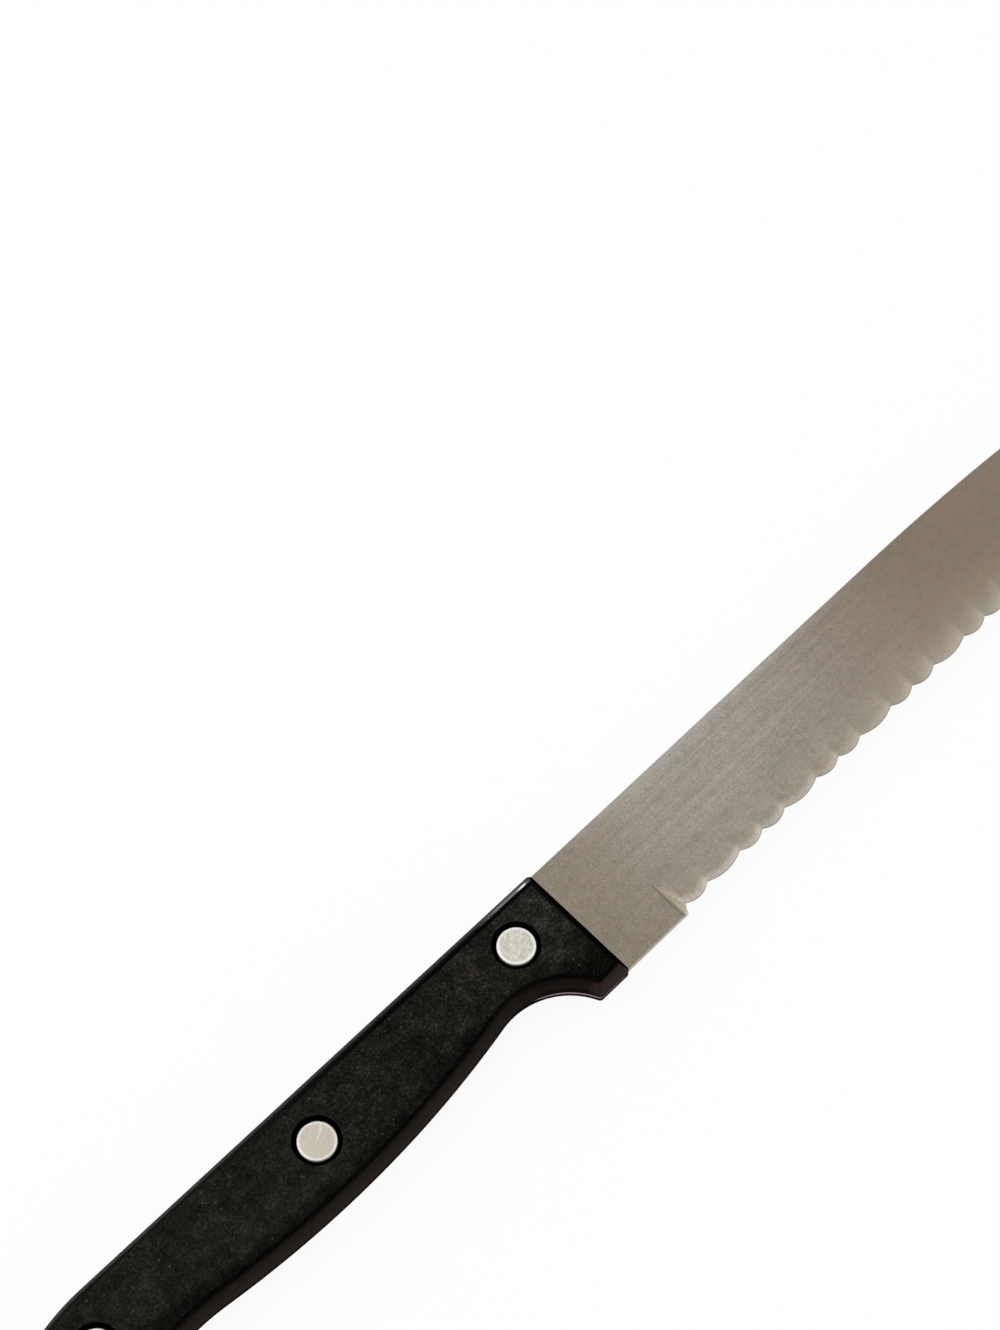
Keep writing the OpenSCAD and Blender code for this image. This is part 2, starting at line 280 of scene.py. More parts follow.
# The front wall and the rivet pockets have finish 1, and the rest finish 0
def makeScale(side):
    bm = bmesh.new()
    rings = []
    for step in wallRings():
        ring = drawPath(bm, handleArcs(step.x), closed=True)
        bmesh.ops.translate(bm, vec=(0, 0, tangUp + step.y), verts=pointsOf(ring))
        rings.append(ring)
    for low, high in zip(rings, rings[1:]):
        bmesh.ops.bridge_loops(bm, edges=low + high)
    bm.normal_update()
    walls = set(bm.faces)
    for place in rivetPlaces.values():
        latheSection(bm, pocketSection(), place)
    pocketTop = handle["faceUp"] - rivet["recessRound"]
    for face in bm.faces:
        middle = face.calc_center_median()
        inFront = abs(face.normal.x) > handle["frontTurn"] and middle.x > -handle["frontDeep"]
        inPocket = middle.z < pocketTop
        face.material_index = int(inFront if face in walls else inPocket)
        face.smooth = True
    fillLevel(bm, handle["faceUp"])
    fillLevel(bm, tangUp)
    bmesh.ops.scale(bm, vec=(1, 1, side), verts=bm.verts)
    bmesh.ops.recalc_face_normals(bm, faces=bm.faces)
    return bm


# The tang stands further back along the belly than at the guard
def tangArcs():
    shown = handleArcs(handle["tangSet"])
    hidden = handleArcs(handle["tangHide"])
    finger = -3  # place of the finger hollow among the arcs
    rear = hidden[finger]
    front = shown[finger]
    frontEnd = front["start"] + front["turn"]
    steps = handle["arcSteps"]
    hollow = [
        arc(rear["centre"], rear["radius"], rear["start"], handle["tangHideEnd"], steps),
        arc(front["centre"], front["radius"], handle["tangSetStart"], frontEnd, steps),
    ]
    return shown[:1] + hidden[1:finger] + hollow + shown[finger + 1:]


def spineRadius():
    return riseRadius(2 * (blade["long"] - blade["spineStraight"]), blade["spineDrop"])


# Blade and tang as one outline, without the grind
def blankArcs():
    tang = tangArcs()
    corner = handle["cornerRadius"]
    top = tang[0]
    guard = tang[-1]
    spineAngle = degrees(asin(-top["centre"].y / corner))
    heelAngle = degrees(asin((heelY - guard["centre"].y) / corner))

    spine = Vector((blade["spineStraight"], -spineRadius(), 0))
    tip = Vector((blade["long"], edgeY, 0))
    ahead = Vector((1, 0))
    orbit = spineRadius() - blade["noseRadius"]
    reach = (tip - spine).length
    bearing = -degrees(ahead.angle_signed((tip - spine).to_2d()))
    turn = degrees(acos((orbit ** 2 + reach ** 2 - blade["noseRadius"] ** 2) / (2 * orbit * reach)))
    nose = spine + polar(orbit, bearing + turn)
    noseEnd = -degrees(ahead.angle_signed((tip - nose).to_2d()))

    return [
        arc(guard["centre"], corner, -90, heelAngle, handle["cornerSteps"]),
        point(blade["long"], heelY),
        arc(nose, blade["noseRadius"], noseEnd, bearing + turn, blade["arcSteps"]),
        arc(spine, spineRadius(), bearing + turn, 90, blade["arcSteps"]),
        arc(top["centre"], corner, spineAngle, 90, handle["cornerSteps"]),
    ] + tang[1:-1]


# What the form wheel takes away, as a section along the edge: round-topped
# ridges with a sharp groove between neighbours
def wheelArcs(bevelAngle):
    flute = grind["notchDepth"] * sin(bevelAngle)
    deep = blade["thick"] + blade["heelDrop"] + grind["spare"]
    begin = blade["heelLong"] - grind["spare"]
    end = blade["long"] + grind["spare"]
    notchesStart = blade["heelLong"] + grind["firstNotch"]
    group = [grind["smallScallop"], grind["largeScallop"], grind["smallScallop"]]
    groups = int((blade["long"] - grind["plainTip"] - notchesStart) // sum(group))
    left = notchesStart - grind["smallScallop"]

    strokes = [point(begin, deep)]
    for width in [grind["smallScallop"]] + group * groups:
        radius = riseRadius(width, flute)
        middle = left + width / 2
        half = degrees(asin(width / 2 / radius))
        start = 90 + half
        if len(strokes) == 1:  # only part of the first ridge is ground
            start = degrees(acos((begin - middle) / radius))
        strokes.append(arc((middle, -radius), radius, start, 90 - half, grind["ridgeSteps"]))
        left += width
    return strokes + [point(left, 0), point(end, 0), point(end, deep)]


def asObject(bm, name, materials):
    mesh = bpy.data.meshes.new(name)
    bm.to_mesh(mesh)
    bm.free()
    for material in materials:
        mesh.materials.append(material)
    piece = bpy.data.objects.new(name, mesh)
    bpy.context.scene.collection.objects.link(piece)
    return piece


# A closed outline, filled and raised to a slab
def raiseSlab(bm, outline, height):
    flat = bmesh.ops.contextual_create(bm, geom=outline)["faces"]
    raised = bmesh.ops.extrude_face_region(bm, geom=flat, use_keep_orig=True)["geom"]
    bmesh.ops.translate(bm, vec=(0, 0, height), verts=only(bmesh.types.BMVert, raised))


def makeBlank():
    bm = bmesh.new()
    outline = drawPath(bm, blankArcs(), closed=True)
    bmesh.ops.translate(bm, vec=(0, 0, -tangUp), verts=bm.verts)
    raiseSlab(bm, outline, blade["thick"])
    bmesh.ops.recalc_face_normals(bm, faces=bm.faces)
    rims = [edge for edge in bm.edges
            if abs(edge.verts[0].co.z - edge.verts[1].co.z) < weldGap]
    bmesh.ops.bevel(bm, geom=rims, offset=blade["edgeRound"], offset_type="OFFSET",
                    affect="EDGES", segments=blade["roundSegments"], profile=0.5, material=-1,
                    clamp_overlap=False)
    return bm


# Cutter for the grind, finish 1, and for the rivet holes, finish 0
def makeCutter():
    bm = bmesh.new()
    bevelAngle = atan(blade["thick"] / grind["wide"])
    travel = 2 * (grind["wide"] + blade["thick"])
    section = drawPath(bm, wheelArcs(bevelAngle), closed=True)
    raiseSlab(bm, section, travel)
    lay = (Matrix.Translation((0, edgeY, -tangUp))
           @ Matrix.Rotation(tau / 4 + bevelAngle, 4, "X")
           @ Matrix.Translation((0, 0, -travel / 2)))
    bmesh.ops.transform(bm, matrix=lay, verts=bm.verts)
    cut = bmesh.ops.bisect_plane(bm, geom=bm.verts[:] + bm.edges[:] + bm.faces[:],
                                 plane_co=(blade["heelLong"], 0, tangUp),
                                 plane_no=Vector((1, 0, stepLean)).normalized(), clear_inner=True)
    bmesh.ops.holes_fill(bm, edges=only(bmesh.types.BMEdge, cut["geom_cut"]))
    bmesh.ops.recalc_face_normals(bm, faces=bm.faces)
    for face in bm.faces:
        face.material_index = 1
    hole = rivet["sleeveWide"] / 2 + rivet["sleeveRoom"]
    for place in rivetPlaces.values():
        bmesh.ops.create_cone(bm, cap_ends=True, segments=rivet["turnSteps"], radius1=hole,
                              radius2=hole, depth=2 * blade["thick"],
                              matrix=Matrix.Translation(place))
    return bm


# What a file takes off the lower corner of the heel step: a wedge through three
# points on the step, that runs out below the heel and the left face
def makeCorner():
    land = grind["cornerLand"]
    spare = grind["spare"]
    foot = Vector((blade["heelLong"] + stepRun, cornerY, -tangUp))
    under = Vector((foot.x - grind["cornerCut"], heelY, -tangUp))
    top = Vector((blade["heelLong"] + stepLean * land, heelY, tangUp - land))
    reach = 1 + spare / (cornerY - heelY)
    outside = Vector((foot.x + (1 + stepLean) * spare, heelY - spare, -tangUp - spare))
    bm = bmesh.new()
    for place in (foot, foot.lerp(top, reach), foot.lerp(under, reach), outside):
        bmesh.ops.create_vert(bm, co=place)
    bmesh.ops.convex_hull(bm, input=bm.verts)
    bmesh.ops.recalc_face_normals(bm, faces=bm.faces)
    for face in bm.faces:
        face.material_index = 1
    return bm


def applyModifiers(piece):
    graph = bpy.context.evaluated_depsgraph_get()
    done = bpy.data.meshes.new_from_object(piece.evaluated_get(graph))
    piece.modifiers.clear()
    piece.data = done


# Merges the points that a cut leaves on top of each other, and drops those that
# only split a straight edge
def weldSeams(piece):
    bm = bmesh.new()
    bm.from_mesh(piece.data)
    bmesh.ops.remove_doubles(bm, verts=bm.verts, dist=weldGap)
    bmesh.ops.dissolve_degenerate(bm, edges=bm.edges, dist=weldGap)
    spare = [vert for vert in bm.verts if len(vert.link_edges) == 2
             and vert.calc_edge_angle() < radians(blade["straightAngle"])]
    bmesh.ops.dissolve_verts(bm, verts=spare)
    bm.to_mesh(piece.data)
    bm.free()


def makeBlade(finishes):
    piece = asObject(makeBlank(), "scallopedBlade", finishes)
    for name, bm in (("formWheel", makeCutter()), ("cornerFile", makeCorner())):
        cutter = asObject(bm, name, finishes)
        cut = piece.modifiers.new(name, "BOOLEAN")
        cut.operation = "DIFFERENCE"
        cut.solver = "EXACT"
        cut.object = cutter
        applyModifiers(piece)
        bpy.data.objects.remove(cutter)
    weldSeams(piece)
    piece.data.transform(intoFrame)
    piece.data.shade_smooth()
    piece.data.set_sharp_from_angle(angle=radians(blade["sharpAngle"]))
    soften = piece.modifiers.new("soften", "WEIGHTED_NORMAL")  # the grind blends into the flat
    soften.keep_sharp = True
    applyModifiers(piece)
    return piece


# Head of a rivet from its middle to the foot of its rim, bearing on height 0
def headArcs():
    rim = rivet["headWide"] / 2
    rounding = rivet["headRound"]
    flatRim = rim - rounding
    domeRadius = riseRadius(2 * flatRim, rivet["dome"])
    domeLean = degrees(asin(flatRim / domeRadius))
    top = rivet["headThick"]
    return [
        arc((0, top - domeRadius), domeRadius, 90, 90 - domeLean, rivet["domeSteps"]),
        arc((flatRim, top - rivet["dome"] - rounding), rounding, 90 - domeLean, 0,
            rivet["roundSteps"]),
        point(rim, 0),
    ]


def pinSection():
    shank = rivet["pinWide"] / 2
    end = rivet["endGap"] - 2 * seatUp
    chamfer = rivet["endChamfer"]
    return headArcs() + [
        point(shank, 0),
        point(shank, end + chamfer),
        point(shank - chamfer, end),
        point(0, end),
    ]


def sleeveSection():
    wall = rivet["sleeveWide"] / 2
    bore = rivet["pinWide"] / 2 + rivet["pinRoom"]
    end = rivet["endGap"] - 2 * seatUp
    return headArcs() + [
        point(wall, 0),
        point(wall, end),
        point(bore, end),
        point(bore, 0),
        point(0, 0),
    ]


def makeRivet(section, place, side):
    bm = bmesh.new()
    latheSection(bm, section, Vector((place.x, place.y, seatUp)))
    bmesh.ops.scale(bm, vec=(1, 1, side), verts=bm.verts)
    bmesh.ops.recalc_face_normals(bm, faces=bm.faces)
    for face in bm.faces:
        face.smooth = True
    return bm


# Node helpers
def feed(tree, socket, value):
    if isinstance(value, bpy.types.NodeSocket):
        tree.links.new(value, socket)
    else:
        socket.default_value = value


def addNode(tree, kind, inputs, **settings):
    made = tree.nodes.new(kind)
    for name, value in settings.items():
        setattr(made, name, value)
    for name, value in inputs.items():
        feed(tree, made.inputs[name], value)
    return made


def calc(tree, operation, *values):
    return addNode(tree, "ShaderNodeMath", dict(enumerate(values)), operation=operation).outputs[0]


def total(tree, first, *others):
    for other in others:
        first = calc(tree, "ADD", first, other)
    return first


def product(tree, first, *others):
    for other in others:
        first = calc(tree, "MULTIPLY", first, other)
    return first


def inverse(tree, share):
    return calc(tree, "SUBTRACT", 1.0, share)


def lengthOf(tree, first, second):
    return calc(tree, "SQRT", total(tree, product(tree, first, first), product(tree, second, second)))


def remap(tree, value, old, new):
    return addNode(tree, "ShaderNodeMapRange",
                   {"Value": value, "From Min": old[0], "From Max": old[1],
                    "To Min": new[0], "To Max": new[1]}).outputs["Result"]


# Share that goes softly from 0 at the first limit to 1 at the second
def ease(tree, value, limits):
    return addNode(tree, "ShaderNodeMapRange",
                   {"Value": value, "From Min": limits[0], "From Max": limits[1]},
                   interpolation_type="SMOOTHSTEP").outputs["Result"]


# A noise value made a change of tone about zero
def spread(tree, value, amount):
    return calc(tree, "MULTIPLY_ADD", value, 2.0 * amount, -amount)


mixSockets = {"first": 6, "second": 7, "result": 2}  # a Mix node's colour sockets


def mixColours(tree, share, first, second):
    mixer = addNode(tree, "ShaderNodeMix",
                    {"Factor": share, mixSockets["first"]: first, mixSockets["second"]: second},
                    data_type="RGBA")
    return mixer.outputs[mixSockets["result"]]


def scaled(tree, colour, factor):
    return addNode(tree, "ShaderNodeVectorMath", {"Vector": colour, "Scale": factor},
                   operation="SCALE").outputs["Vector"]


def vary(tree, colour, *changes):
    return scaled(tree, colour, total(tree, 1.0, *changes))


# Noise with its grain size in millimetres
def noise(tree, coords, pattern):
    size = pattern["size"]
    if not isinstance(size, tuple):
        size = (size, size, size)
    turn = (0, 0, radians(pattern.get("turn", 0)))
    shift = pattern.get("shift", (0, 0, 0))
    mapped = addNode(tree, "ShaderNodeMapping",
                     {"Vector": coords, "Location": shift, "Rotation": turn, "Scale": size},
                     vector_type="TEXTURE").outputs["Vector"]
    return addNode(tree, "ShaderNodeTexNoise",
                   {"Vector": mapped, "Scale": 1.0, "Detail": pattern["detail"]}).outputs["Fac"]


# Object coordinates turned into the knife's own millimetres
def knifeCoords(tree, centre=Vector((0, 0, 0))):
    coords = addNode(tree, "ShaderNodeTexCoord", {})
    mapped = addNode(tree, "ShaderNodeMapping",
                     {"Vector": coords.outputs["Object"], "Location": -origin / mm - centre,
                      "Scale": (1 / mm, 1 / mm, 1 / mm)})
    return mapped.outputs["Vector"]


def axesOf(tree, coords):
    split = addNode(tree, "ShaderNodeSeparateXYZ", {"Vector": coords})
    return split.outputs["X"], split.outputs["Y"], split.outputs["Z"]


def clearTree(owner):
    owner.use_nodes = True
    owner.node_tree.nodes.clear()
    return owner.node_tree


def startMaterial(name):
    material = bpy.data.materials.new(name)
    tree = clearTree(material)
    output = addNode(tree, "ShaderNodeOutputMaterial", {})
    shader = addNode(tree, "ShaderNodeBsdfPrincipled", {})
    tree.links.new(shader.outputs["BSDF"], output.inputs["Surface"])
    return material, tree, shader


def bumpUp(tree, height, strength, distance):
    return addNode(tree, "ShaderNodeBump",
                   {"Height": height, "Strength": strength, "Distance": distance}).outputs["Normal"]


steel = {
    "byHandle": (0.345, 0.297, 0.229, 1), "middle": (0.466, 0.422, 0.370, 1),
    "farEnd": (0.335, 0.266, 0.203, 1), "edge": (0.390, 0.344, 0.277, 1),
    "honeAndSheen": (0.56, 0.52, 0.47, 1), "edgeShade": (0.15, 0.13, 0.11, 1),
    "spine": (0.53, 0.50, 0.46, 1), "tang": (0.36, 0.285, 0.30, 1),
    "stepWall": (0.66, 0.605, 0.495, 1), "stepTop": (0.46, 0.40, 0.31, 1),
    "stepShadow": (0.20, 0.165, 0.125, 1), "corner": (0.62, 0.56, 0.545, 1),
    # places along the blade
    "lightens": (-2, 30), "darkens": (36, 92), "spineFades": (45, 80),
    "tangFrom": (-0.2, -0.5), "handleGlow": (1.2, 0.3), "glowShare": 0.45,
    "keenFades": (14, 70), "keenFade": -0.85,
    "shadeAlong": (48, 86), "shadeDepth": (-0.075, 0.11),
    # depths under the spine
    "spineGlow": (1.8, 0.1), "shadeFrom": (10, 15), "streakFrom": (19, 13),
    # heights on the ground face
    "edgeFrom": (0.45, -0.6), "edgeBreak": 0.35, "topFrom": (0.30, 0.70),
    "keenFrom": (-0.36, -0.64), "edgeShadeFrom": (-0.715, -0.74),
    # distances from the heel step, and how low its line and its filed corner begin
    "lineFrom": (0.55, 0.05), "lineUnder": (-13.9, -15.0), "lineShare": 0.62,
    "filedFrom": (-0.01, -0.04), "filedUnder": (-20.0, -20.3), "wallFrom": (0.03, 0.01),
    "nearStep": (4.2, 0.6), "nearDepth": 0.55, "nearGain": 0.09,
    # patterns
    "clouds": {"size": 13, "detail": 2}, "cloudDepth": 0.09,
    "blotches": {"size": 1.3, "detail": 2}, "blotchDepth": 0.17,
    "specks": {"size": 0.34, "detail": 2}, "speckDepth": 0.38,
    "textureFade": -0.5, "groundTexture": 0.75,
    "streaks": {"size": (40, 0.6, 1), "detail": 4}, "streakDepth": 0.28,
    "marks": {"size": (0.35, 5, 5), "detail": 3}, "markDepth": 0.045,
    "tint": {"size": 2.6, "detail": 1, "shift": (17, 5, 9)}, "tintFrom": (0.35, 0.65),
    "pinkish": (1.02, 0.99, 0.985, 1), "greenish": (0.98, 1.005, 0.985, 1),
    # surface
    "metallic": 1.0, "roughness": (0.30, 0.42), "grainFrom": (0.35, 0.65),
    "markShare": 0.6, "speckShare": 0.4,
    "relief": 0.000003, "reliefStrength": 0.2,
}


# Brushed steel. The ground face keeps its tone at the top of the grind, so no
# line shows there, grows paler down to the edge, and ends in a painted dark shade line on it.
def steelFinish(ground):
    material, tree, shader = startMaterial("groundSteel" if ground else "brushedSteel")
    coords = knifeCoords(tree)
    x, y, z = axesOf(tree, coords)
    beyond = calc(tree, "MAXIMUM", calc(tree, "SUBTRACT", x, blade["spineStraight"]), 0.0)
    spineFall = calc(tree, "DIVIDE", product(tree, beyond, beyond), -2 * spineRadius())
    depth = calc(tree, "SUBTRACT", spineFall, y)

    # painted reflection: darker by the handle, lighter in the middle and darker at the far end, with a
    # painted highlight under the spine and a paler painted band against the handle
    lightens = ease(tree, x, steel["lightens"])
    darkens = ease(tree, x, steel["darkens"])
    colour = mixColours(tree, lightens, steel["byHandle"], steel["middle"])
    colour = mixColours(tree, darkens, colour, steel["farEnd"])
    spineShare = product(tree, ease(tree, depth, steel["spineGlow"]),
                         inverse(tree, ease(tree, x, steel["spineFades"])), lightens)
    colour = mixColours(tree, spineShare, colour, steel["spine"])
    handleShare = product(tree, ease(tree, x, steel["handleGlow"]), steel["glowShare"])
    colour = mixColours(tree, handleShare, colour, steel["edge"])
    colour = mixColours(tree, ease(tree, x, steel["tangFrom"]), colour, steel["tang"])

    blotches = noise(tree, coords, steel["blotches"])
    specks = noise(tree, coords, steel["specks"])
    shade = product(tree, ease(tree, depth, steel["shadeFrom"]), lightens,
                    remap(tree, x, steel["shadeAlong"], steel["shadeDepth"]))
    texture = total(tree, spread(tree, blotches, steel["blotchDepth"]),
                    spread(tree, specks, steel["speckDepth"]))
    texture = product(tree, texture, calc(tree, "MULTIPLY_ADD", darkens, steel["textureFade"], 1.0))
    if ground:
        texture = product(tree, texture, steel["groundTexture"])
        marks = noise(tree, coords, steel["marks"])
        lines = spread(tree, marks, steel["markDepth"])
        height = total(tree, z, spread(tree, blotches, steel["edgeBreak"]))
        pale = ease(tree, height, steel["edgeFrom"])
        colour = mixColours(tree, pale, colour, steel["edge"])
        shade = product(tree, shade, inverse(tree, pale))
        # lighter near the very edge: partly a honed edge, partly a painted highlight
        honeAndSheen = calc(tree, "MULTIPLY_ADD", ease(tree, x, steel["keenFades"]), steel["keenFade"], 1.0)
        honeAndSheen = product(tree, honeAndSheen, ease(tree, z, steel["keenFrom"]))
        colour = mixColours(tree, honeAndSheen, colour, steel["honeAndSheen"])
        # the heel step, with pale streaks beside it, a painted highlight on its facet, and its filed
        # corner
        fromStep = calc(tree, "SUBTRACT", calc(tree, "MULTIPLY_ADD", z, stepLean, x),
                        blade["heelLong"] + stepLean * tangUp)
        near = product(tree, ease(tree, fromStep, steel["nearStep"]), ease(tree, z, steel["edgeFrom"]))
        streaked = total(tree, spread(tree, marks, steel["nearDepth"]), steel["nearGain"])
        lines = total(tree, lines, product(tree, near, streaked))
        # painted highlight: the step's facet brighter than the steel, most of all low down
        wall = mixColours(tree, ease(tree, z, steel["topFrom"]), steel["stepWall"], steel["stepTop"])
        colour = mixColours(tree, ease(tree, fromStep, steel["wallFrom"]), colour, wall)
        filed = product(tree, ease(tree, fromStep, steel["filedFrom"]),
                        ease(tree, y, steel["filedUnder"]))
        colour = mixColours(tree, filed, colour, steel["corner"])
    else:
        marks = noise(tree, coords, steel["streaks"])
        brushed = product(tree, ease(tree, depth, steel["streakFrom"]), inverse(tree, darkens),
                          lightens)
        lines = product(tree, spread(tree, marks, steel["streakDepth"]), brushed)
        # painted shadow: a dark line on the flat just before the heel step
        toStep = calc(tree, "SUBTRACT", blade["heelLong"], x)
        stepShade = product(tree, ease(tree, toStep, steel["lineFrom"]),
                         ease(tree, y, steel["lineUnder"]), steel["lineShare"])
        colour = mixColours(tree, stepShade, colour, steel["stepShadow"])
    tint = ease(tree, noise(tree, coords, steel["tint"]), steel["tintFrom"])
    tinted = mixColours(tree, tint, steel["pinkish"], steel["greenish"])
    colour = addNode(tree, "ShaderNodeVectorMath", {0: colour, 1: tinted},
                     operation="MULTIPLY").outputs["Vector"]
    clouds = spread(tree, noise(tree, coords, steel["clouds"]), steel["cloudDepth"])
    colour = vary(tree, colour, lines, shade, clouds, texture)
    # painted shade: a dark line along the very edge
    if ground:
        colour = mixColours(tree, ease(tree, z, steel["edgeShadeFrom"]), colour, steel["edgeShade"])

    feed(tree, shader.inputs["Base Color"], colour)
    shader.inputs["Metallic"].default_value = steel["metallic"]
    grain = total(tree, product(tree, marks, steel["markShare"]),
                  product(tree, specks, steel["speckShare"]))
    feed(tree, shader.inputs["Roughness"], remap(tree, grain, steel["grainFrom"], steel["roughness"]))
    feed(tree, shader.inputs["Normal"], bumpUp(tree, grain, steel["reliefStrength"], steel["relief"]))
    return material


plastic = {
    "olive": (0.0115, 0.0120, 0.0085, 1), "slate": (0.0110, 0.0115, 0.0096, 1),
    "umber": (0.0123, 0.0109, 0.0089, 1), "speck": (0.052, 0.051, 0.045, 1),
    "wall": (0.0150, 0.0107, 0.0077, 1), "guard": (0.0350, 0.0220, 0.0195, 1),
    "line": (0.0010, 0.0008, 0.0007, 1),
    "topSheen": (0.19, 0.19, 0.195, 1), "glint": (0.98, 0.98, 0.97, 1),
    # places on the face, along the handle or under its top
    "umberFrom": (-46, -38), "umberTo": (-9, -15), "umberShare": 0.8,
    "duskFrom": (-12, -7), "duskUnder": (-13.5, -19.0), "duskFade": -1.5,
    "dawnFrom": (-16, -6), "dawnOver": (-15, -6), "dawnGain": 0.28,
    "bellyBend": 0.0027, "bellyDusk": (4.0, 2.5), "bellyFrom": (-20, -28), "bellyFade": -0.75,
    "patchPlace": (-33, -9.8), "patchFrom": (6.5, 1.5), "patchFade": -0.42,
    "gainFrom": (-62, -42), "frontGain": 0.3,
    # heights from the middle of the steel, and the walls
    "faceFrom": (4.32, 4.80), "lineFrom": (3.45, 3.95),
    "wallFades": (0.8, 3.6), "wallFade": -0.38, "wallDepth": 0.25,
    "footLine": (1.9, 1.4), "footFrom": (-14.5, -12.5), "footGlow": (1.9, 0.8), "footGain": 0.65,
    "hollowFrom": (-36, -19), "hollowFade": -0.22,
    "guardFrom": (-7.8, -6.4), "guardUnder": (-19.2, -20.6), "frontLine": (-2.3, -1.9),
    # depths under the top line, and the painted reflection band there
    "topBand": (1.85, 1.6), "topLine": (2.8, 2.35), "glintUnder": (1.25, 1.40),
    "topLineFades": (-75, -35), "topLineUp": (2.2, 3.2),
    "sheenUp": (1.6, 3.2), "sheenFades": (-20, -3), "sheenBreaks": (0.295, 0.535),
    "fleckShare": 0.35, "frontShare": 0.4,
    "sheenTo": (-1.2, -2.4), "cornerSheen": 0.3, "sideFade": -0.35,
    "glintFrom": (-4.7, -3.1), "glintTo": (-2.2, -2.8),
    # patterns
    "tint": {"size": 2.0, "detail": 1, "shift": (9, 23, 4)}, "tintFrom": (0.40, 0.62),
    "clouds": {"size": 8, "detail": 1, "shift": (3, 14, 8)}, "cloudDepth": 0.5,
    "blotches": {"size": 2.4, "detail": 5}, "blotchDepth": 1.15,
    "grain": {"size": 0.42, "detail": 2}, "grainDepth": 1.5,
    "specks": {"size": 0.6, "detail": 1, "shift": (31, 7, 3)}, "speckFrom": (0.70, 0.80),
    "scratches": {"size": (11, 0.16, 1), "detail": 1, "turn": 38},
    "scratchFrom": (0.70, 0.78), "scratchShare": 0.35,
    "flecks": {"size": (2.0, 0.7, 0.7), "detail": 2},
    # surface
    "specular": 0.015, "shadowSpecular": 0.0, "roughness": (0.5, 0.68), "grainFrom": (0.3, 0.7),
    "relief": 0.00003, "reliefStrength": 0.35,
}


# Mottled face, with painted shade at the lower front by the guard and over the belly,
# painted light at the upper front, and darker in one patch
def faceColour(tree, coords, x, y, blotches, grain):
    tint = ease(tree, noise(tree, coords, plastic["tint"]), plastic["tintFrom"])
    colour = mixColours(tree, tint, plastic["olive"], plastic["slate"])
    umber = product(tree, ease(tree, x, plastic["umberFrom"]), ease(tree, x, plastic["umberTo"]),
                    plastic["umberShare"])
    colour = mixColours(tree, umber, colour, plastic["umber"])

    mottle = total(tree, spread(tree, blotches, plastic["blotchDepth"]),
                   spread(tree, grain, plastic["grainDepth"]))
    gain = calc(tree, "MULTIPLY_ADD", ease(tree, x, plastic["gainFrom"]), plastic["frontGain"], 1.0)
    clouds = spread(tree, noise(tree, coords, plastic["clouds"]), plastic["cloudDepth"])
    # painted shade by the guard and over the belly, painted light at the upper front
    dusk = product(tree, ease(tree, x, plastic["duskFrom"]), ease(tree, y, plastic["duskUnder"]),
                   plastic["duskFade"])
    dawn = product(tree, ease(tree, x, plastic["dawnFrom"]), ease(tree, y, plastic["dawnOver"]),
                   plastic["dawnGain"])
    fromBelly = calc(tree, "ADD", x, handle["bellyBack"])
    bellyRise = product(tree, fromBelly, fromBelly, plastic["bellyBend"])
    overBelly = calc(tree, "SUBTRACT", total(tree, y, handle["bellyDepth"]), bellyRise)
    lowDusk = product(tree, ease(tree, overBelly, plastic["bellyDusk"]),
                      ease(tree, x, plastic["bellyFrom"]), plastic["bellyFade"])
    toPatch = lengthOf(tree, calc(tree, "SUBTRACT", x, plastic["patchPlace"][0]),
                       calc(tree, "SUBTRACT", y, plastic["patchPlace"][1]))
    patch = product(tree, ease(tree, toPatch, plastic["patchFrom"]), plastic["patchFade"])
    change = total(tree, product(tree, mottle, gain), clouds, dusk, dawn, lowDusk, patch)
    colour = scaled(tree, colour, calc(tree, "EXPONENT", change))

    specks = ease(tree, noise(tree, coords, plastic["specks"]), plastic["speckFrom"])
    colour = mixColours(tree, specks, colour, plastic["speck"])
    scratches = ease(tree, noise(tree, coords, plastic["scratches"]), plastic["scratchFrom"])
    scratched = product(tree, scratches, plastic["scratchShare"])
    return mixColours(tree, scratched, colour, plastic["speck"])


# Brownish walls with painted light at their foot and painted shade higher up and in the
# finger hollow, a painted highlight on the guard facet, and a black line under the face
# and at the foot of the hollow
def wallColour(tree, x, up, guard, blotches):
    # painted highlight: the guard facet lighter and warmer than the rest of the wall
    colour = mixColours(tree, guard, plastic["wall"], plastic["guard"])
    hollow = ease(tree, x, plastic["hollowFrom"])
    behindGuard = inverse(tree, guard)
    # painted shade darkens the upper wall and the finger hollow, and painted light brightens the foot
    # of the wall outside the hollow
    colour = vary(tree, colour, spread(tree, blotches, plastic["wallDepth"]),
                  product(tree, ease(tree, up, plastic["wallFades"]), plastic["wallFade"]),
                  product(tree, hollow, behindGuard, plastic["hollowFade"]),
                  product(tree, ease(tree, up, plastic["footGlow"]), inverse(tree, hollow),
                          plastic["footGain"]))
    line = ease(tree, up, plastic["lineFrom"])
    foot = product(tree, ease(tree, up, plastic["footLine"]), ease(tree, x, plastic["footFrom"]),
                   behindGuard)
    return mixColours(tree, calc(tree, "MAXIMUM", line, foot), colour, plastic["line"])


